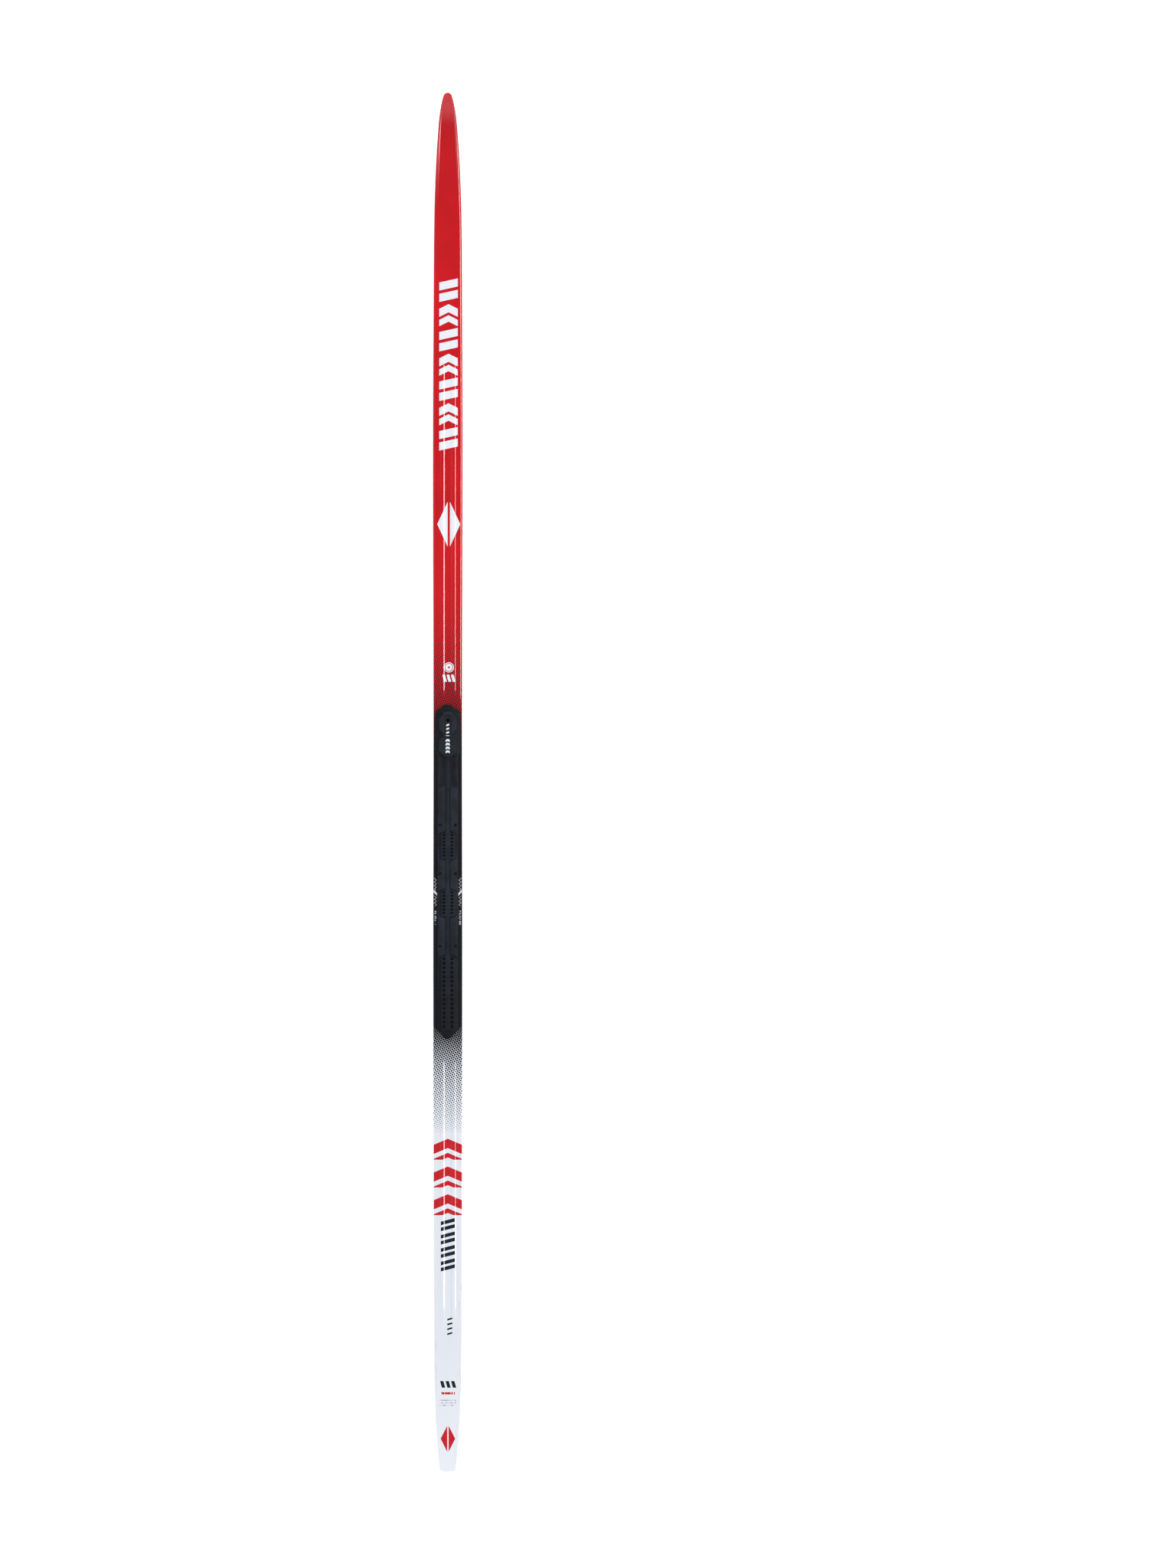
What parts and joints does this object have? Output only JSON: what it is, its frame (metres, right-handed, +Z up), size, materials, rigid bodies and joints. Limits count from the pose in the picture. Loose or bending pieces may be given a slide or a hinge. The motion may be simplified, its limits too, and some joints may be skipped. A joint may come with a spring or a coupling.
{
  "type": "cross country ski",
  "caption": "Long slender cambered snow ski with an upturned tip, a skin in its grooved running base, a layered core and a moulded rail plate for sliding on a boot binding.",
  "frame": {"origin": "on the floor, under the middle of the ski's length and width", "axes": "+Y from the tail to the tip, +Z up out of the top sheet, +X across the ski to the right when facing the tip"},
  "size_m": [0.0442, 2.055, 0.0659],
  "materials": {
    "running_base": "satin sintered sliding plastic",
    "mohair": "short directional pile",
    "skin_glue": "tacky film",
    "laminate": "fibre laminate",
    "spacer": "satin",
    "sidewall": "satin",
    "stringer_wood": "sawn",
    "block_wood": "sawn",
    "core_foam": "rigid foam",
    "reinforcement": "glass fibre sheet",
    "top_print": "clear coated print, red, black and white",
    "plate_bond": "adhesive film",
    "plate_moulding": "fine textured moulding",
    "label": "printed film",
    "screw_steel": "black coated"
  },
  "bodies": {
    "root": {"running_base": "running_base", "mohair_skin": "mohair", "skin_glue": "skin_glue", "lower_laminate": "laminate", "tip_spacer": "spacer", "tail_spacer": "spacer", "sidewall_left": "sidewall", "sidewall_right": "sidewall", "stringer_left": "stringer_wood", "stringer_right": "stringer_wood", "core_front": "core_foam", "core_block": "block_wood", "core_rear": "core_foam", "binding_reinforcement": "reinforcement", "upper_laminate": "laminate", "top_sheet": "top_print", "plate_bond": "plate_bond", "binding_plate": "plate_moulding", "label_strip": "label", "plate_screws": "screw_steel"}
  },
  "joints": []
}
